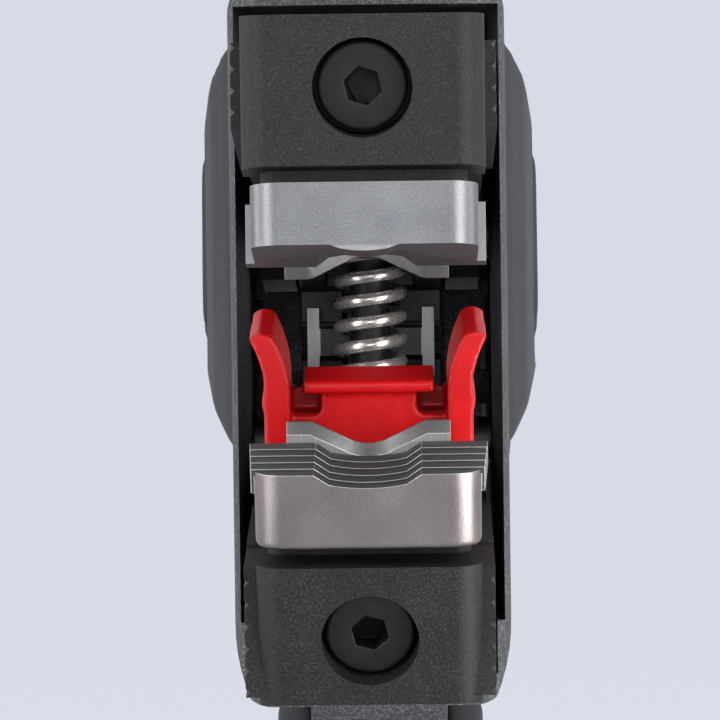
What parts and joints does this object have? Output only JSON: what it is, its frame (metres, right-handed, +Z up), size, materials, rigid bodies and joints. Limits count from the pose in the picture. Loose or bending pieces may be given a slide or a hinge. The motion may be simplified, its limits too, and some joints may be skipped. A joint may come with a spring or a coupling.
{
  "type": "automatic wire stripper",
  "caption": "Squeeze-handle automatic wire stripper with gripping jaws, blades that are pulled back, a sliding length stop and a sprung handle.",
  "frame": {"origin": "middle of the tool's width and length, at the lowest point of the open handle", "axes": "+X across the tool, +Y from the mouth to the handles, +Z up"},
  "size_m": [0.029, 0.198, 0.1177],
  "materials": {
    "housing_plastic": "fine moulded grain",
    "soft_grip": "soft matt",
    "jaw_plastic": "speckled moulded grain",
    "blasted_steel": "bead blasted",
    "black_screw": "black oxide",
    "ground_steel": "ground",
    "plated_steel": "zinc plated",
    "red_plastic": "glossy",
    "spring_steel": "drawn wire",
    "lever_plastic": "fine moulded grain",
    "dial_plastic": "glossy",
    "pin_steel": "ground"
  },
  "bodies": {
    "frame": {"left_housing": "housing_plastic", "right_housing": "housing_plastic", "left_grip": "soft_grip", "right_grip": "soft_grip", "cover_screws": "black_screw", "upper_jaw_pin": "pin_steel", "lower_jaw_pin": "pin_steel", "lever_pin": "pin_steel", "dial_axle": "pin_steel", "return_spring": "spring_steel", "jaw_spring": "spring_steel"},
    "top_jaw": {"upper_jaw": "jaw_plastic", "upper_clamp": "blasted_steel", "upper_clamp_screw": "black_screw"},
    "bottom_jaw": {"lower_jaw": "jaw_plastic", "lower_clamp": "blasted_steel", "lower_clamp_screw": "black_screw"},
    "top_blade_slide": {"upper_carrier": "plated_steel", "upper_blade": "ground_steel"},
    "bottom_blade_slide": {"lower_carrier": "plated_steel", "lower_blade": "ground_steel"},
    "length_stop": {"wire_stop": "red_plastic"},
    "pull_bar": {"draw_bar": "plated_steel"},
    "squeeze_handle": {"handle_lever": "lever_plastic", "lever_grip": "soft_grip", "drive_pin": "pin_steel"},
    "adjuster": {"dial": "dial_plastic"}
  },
  "joints": [
    {"name": "handle_squeeze", "type": "hinge", "parent": "frame", "child": "squeeze_handle", "pos_m": [0, -0.01004, 0.107], "axis": [1, 0, 0], "range_deg": [0, 26], "stiffness_Nm_per_rad": 1.2, "springref_deg": -20.05, "deforming": ["return_spring", "jaw_spring"]},
    {"name": "upper_jaw_close", "type": "hinge", "parent": "frame", "child": "top_jaw", "pos_m": [0, -0.03604, 0.095], "axis": [1, 0, 0], "range_deg": [0, 7.2]},
    {"name": "lower_jaw_close", "type": "hinge", "parent": "frame", "child": "bottom_jaw", "pos_m": [0, -0.03604, 0.077], "axis": [1, 0, 0], "range_deg": [-7.2, 0]},
    {"name": "upper_blade_pull", "type": "slide", "parent": "top_jaw", "child": "top_blade_slide", "axis": [0, 0.9921, -0.1253], "range_m": [0, 0.012]},
    {"name": "lower_blade_pull", "type": "slide", "parent": "bottom_jaw", "child": "bottom_blade_slide", "axis": [0, 0.9921, 0.1253], "range_m": [0, 0.012]},
    {"name": "draw_bar_pull", "type": "slide", "parent": "frame", "child": "pull_bar", "axis": [0, 1, 0], "range_m": [0, 0.013]},
    {"name": "stop_slide", "type": "slide", "parent": "bottom_blade_slide", "child": "length_stop", "axis": [0, 0.9921, 0.1253], "range_m": [-0.0035, 0.003]},
    {"name": "dial_turn", "type": "hinge", "parent": "frame", "child": "adjuster", "pos_m": [0, 0.01196, 0.1095], "axis": [1, 0, 0], "range_deg": [-150, 150]}
  ],
  "couplings": [
    {"joint": "upper_jaw_close", "follows": "handle_squeeze", "ratio": 0.27692},
    {"joint": "lower_jaw_close", "follows": "handle_squeeze", "ratio": -0.27692},
    {"joint": "upper_blade_pull", "follows": "handle_squeeze", "m_per_rad": 0.026444},
    {"joint": "lower_blade_pull", "follows": "handle_squeeze", "m_per_rad": 0.026444},
    {"joint": "draw_bar_pull", "follows": "handle_squeeze", "m_per_rad": 0.028648}
  ]
}
